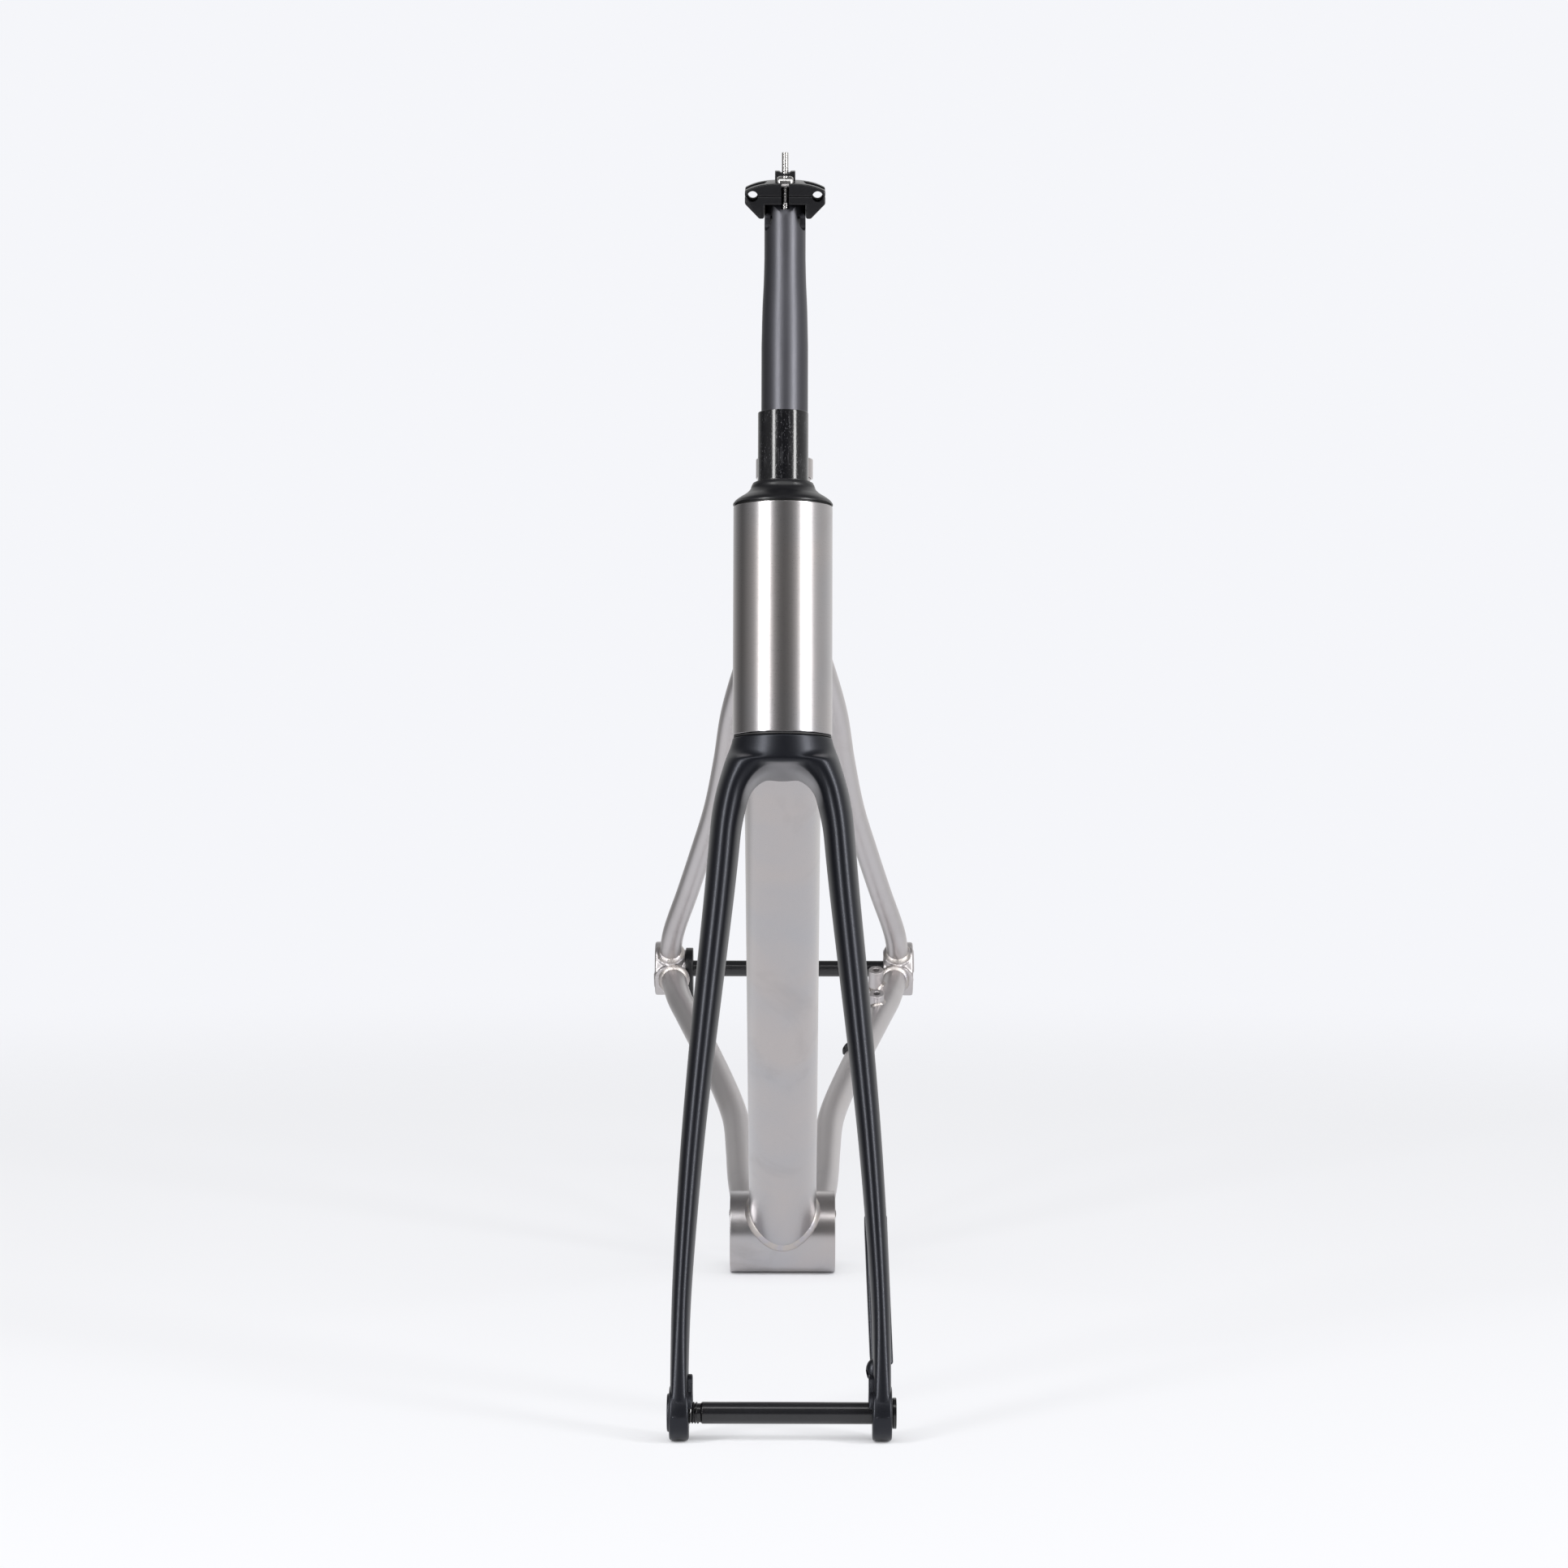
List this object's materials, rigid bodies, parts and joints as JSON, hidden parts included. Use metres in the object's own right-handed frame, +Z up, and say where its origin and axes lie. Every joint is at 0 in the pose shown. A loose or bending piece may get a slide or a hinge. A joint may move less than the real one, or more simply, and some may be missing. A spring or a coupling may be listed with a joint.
{
  "type": "road bike frameset",
  "caption": "Road bike as a bare disc-brake frameset: round-tube titanium frame, curved carbon fork, headset, seatpost with saddle clamp, thru-axles.",
  "frame": {"origin": "centre of the footprint, on the floor that the fork tips and the bottom bracket shell stand on", "axes": "+Z up, +Y towards the rear, +X towards the bike's left, which is the brake side"},
  "size_m": [0.193, 1.009, 0.7516],
  "materials": {
    "head_tube": "brushed bare titanium",
    "down_tube": "brushed bare titanium",
    "top_tube": "brushed bare titanium",
    "seat_tube": "brushed bare titanium",
    "bottom_bracket_shell": "brushed bare titanium",
    "dropout_left": "brushed bare titanium",
    "seatstay_left": "brushed bare titanium",
    "chainstay_left": "brushed bare titanium",
    "dropout_right": "brushed bare titanium",
    "seatstay_right": "brushed bare titanium",
    "chainstay_right": "brushed bare titanium",
    "seatstay_bridge": "brushed bare titanium",
    "chainstay_bridge": "brushed bare titanium",
    "rear_brake_boss": "brushed bare titanium",
    "front_brake_boss": "brushed bare titanium",
    "hose_port_grommet": "matt black rubber",
    "derailleur_hanger": "black anodised, satin",
    "lower_down_tube_bottle_boss": "brushed bare titanium",
    "upper_down_tube_bottle_boss": "brushed bare titanium",
    "lower_seat_tube_bottle_boss": "brushed bare titanium",
    "upper_seat_tube_bottle_boss": "brushed bare titanium",
    "seat_collar": "brushed bare titanium",
    "seat_collar_bolt": "bright stainless steel",
    "lower_bearing_outer_race": "polished bearing steel",
    "lower_bearing_inner_race": "polished bearing steel",
    "lower_bearing_balls": "polished bearing steel",
    "upper_bearing_outer_race": "polished bearing steel",
    "upper_bearing_inner_race": "polished bearing steel",
    "upper_bearing_balls": "polished bearing steel",
    "crown_race": "black anodised, satin",
    "lower_headset_seal": "matt black rubber",
    "compression_ring": "black anodised, satin",
    "headset_top_cover": "black anodised, satin",
    "upper_headset_seal": "matt black rubber",
    "steerer_tube": "gloss black carbon composite",
    "fork_crown_and_blades": "matt black carbon composite",
    "upper_brake_insert": "bright stainless steel",
    "lower_brake_insert": "bright stainless steel",
    "front_axle_thread_insert": "black anodised, satin",
    "front_thru_axle": "black anodised, satin",
    "rear_thru_axle": "black anodised, satin",
    "seatpost": "matt black carbon composite",
    "lower_rail_cradle": "black anodised, satin",
    "upper_rail_clamp": "black anodised, satin",
    "front_clamp_nut": "bright stainless steel",
    "rear_clamp_nut": "black anodised, satin",
    "front_barrel_nut": "bright stainless steel",
    "front_clamp_bolt": "bright stainless steel",
    "rear_barrel_nut": "bright stainless steel",
    "rear_clamp_bolt": "bright stainless steel"
  },
  "bodies": {
    "frame": {"head_tube": "head_tube", "down_tube": "down_tube", "top_tube": "top_tube", "seat_tube": "seat_tube", "bottom_bracket_shell": "bottom_bracket_shell", "dropout_left": "dropout_left", "dropout_right": "dropout_right", "seatstay_left": "seatstay_left", "seatstay_right": "seatstay_right", "chainstay_left": "chainstay_left", "chainstay_right": "chainstay_right", "seatstay_bridge": "seatstay_bridge", "chainstay_bridge": "chainstay_bridge", "rear_brake_boss": "rear_brake_boss", "front_brake_boss": "front_brake_boss", "hose_port_grommet": "hose_port_grommet", "derailleur_hanger": "derailleur_hanger", "lower_down_tube_bottle_boss": "lower_down_tube_bottle_boss", "upper_down_tube_bottle_boss": "upper_down_tube_bottle_boss", "lower_seat_tube_bottle_boss": "lower_seat_tube_bottle_boss", "upper_seat_tube_bottle_boss": "upper_seat_tube_bottle_boss", "seat_collar": "seat_collar", "seat_collar_bolt": "seat_collar_bolt", "lower_bearing_outer_race": "lower_bearing_outer_race", "upper_bearing_outer_race": "upper_bearing_outer_race"},
    "fork": {"fork_crown_and_blades": "fork_crown_and_blades", "steerer_tube": "steerer_tube", "crown_race": "crown_race", "lower_headset_seal": "lower_headset_seal", "compression_ring": "compression_ring", "lower_bearing_inner_race": "lower_bearing_inner_race", "upper_bearing_inner_race": "upper_bearing_inner_race", "lower_bearing_balls": "lower_bearing_balls", "upper_bearing_balls": "upper_bearing_balls", "upper_brake_insert": "upper_brake_insert", "lower_brake_insert": "lower_brake_insert", "front_axle_thread_insert": "front_axle_thread_insert"},
    "headset_cover": {"headset_top_cover": "headset_top_cover", "upper_headset_seal": "upper_headset_seal"},
    "seatpost": {"seatpost": "seatpost"},
    "saddle_clamp": {"lower_rail_cradle": "lower_rail_cradle", "upper_rail_clamp": "upper_rail_clamp", "front_clamp_nut": "front_clamp_nut", "rear_clamp_nut": "rear_clamp_nut", "front_barrel_nut": "front_barrel_nut", "rear_barrel_nut": "rear_barrel_nut", "front_clamp_bolt": "front_clamp_bolt", "rear_clamp_bolt": "rear_clamp_bolt"},
    "front_axle": {"front_thru_axle": "front_thru_axle"},
    "rear_axle": {"rear_thru_axle": "rear_thru_axle"}
  },
  "joints": [
    {"name": "steering", "type": "hinge", "parent": "frame", "child": "fork", "pos_m": [0, -0.39177, 0.37877], "axis": [0, 0.1424, 0.9898], "continuous": true},
    {"name": "cover_lift", "type": "slide", "parent": "fork", "child": "headset_cover", "axis": [0, 0.1424, 0.9898], "range_m": [0, 0.06]},
    {"name": "seatpost_height", "type": "slide", "parent": "frame", "child": "seatpost", "axis": [0, 0.1338, 0.991], "range_m": [-0.14, 0.11]},
    {"name": "saddle_tilt", "type": "hinge", "parent": "seatpost", "child": "saddle_clamp", "pos_m": [0, 0.18194, 0.70484], "axis": [1, 0, 0], "range_deg": [-9, 9]},
    {"name": "front_axle_draw", "type": "slide", "parent": "fork", "child": "front_axle", "axis": [1, 0, 0], "range_m": [0, 0.125]},
    {"name": "rear_axle_draw", "type": "slide", "parent": "frame", "child": "rear_axle", "axis": [1, 0, 0], "range_m": [0, 0.19]}
  ]
}
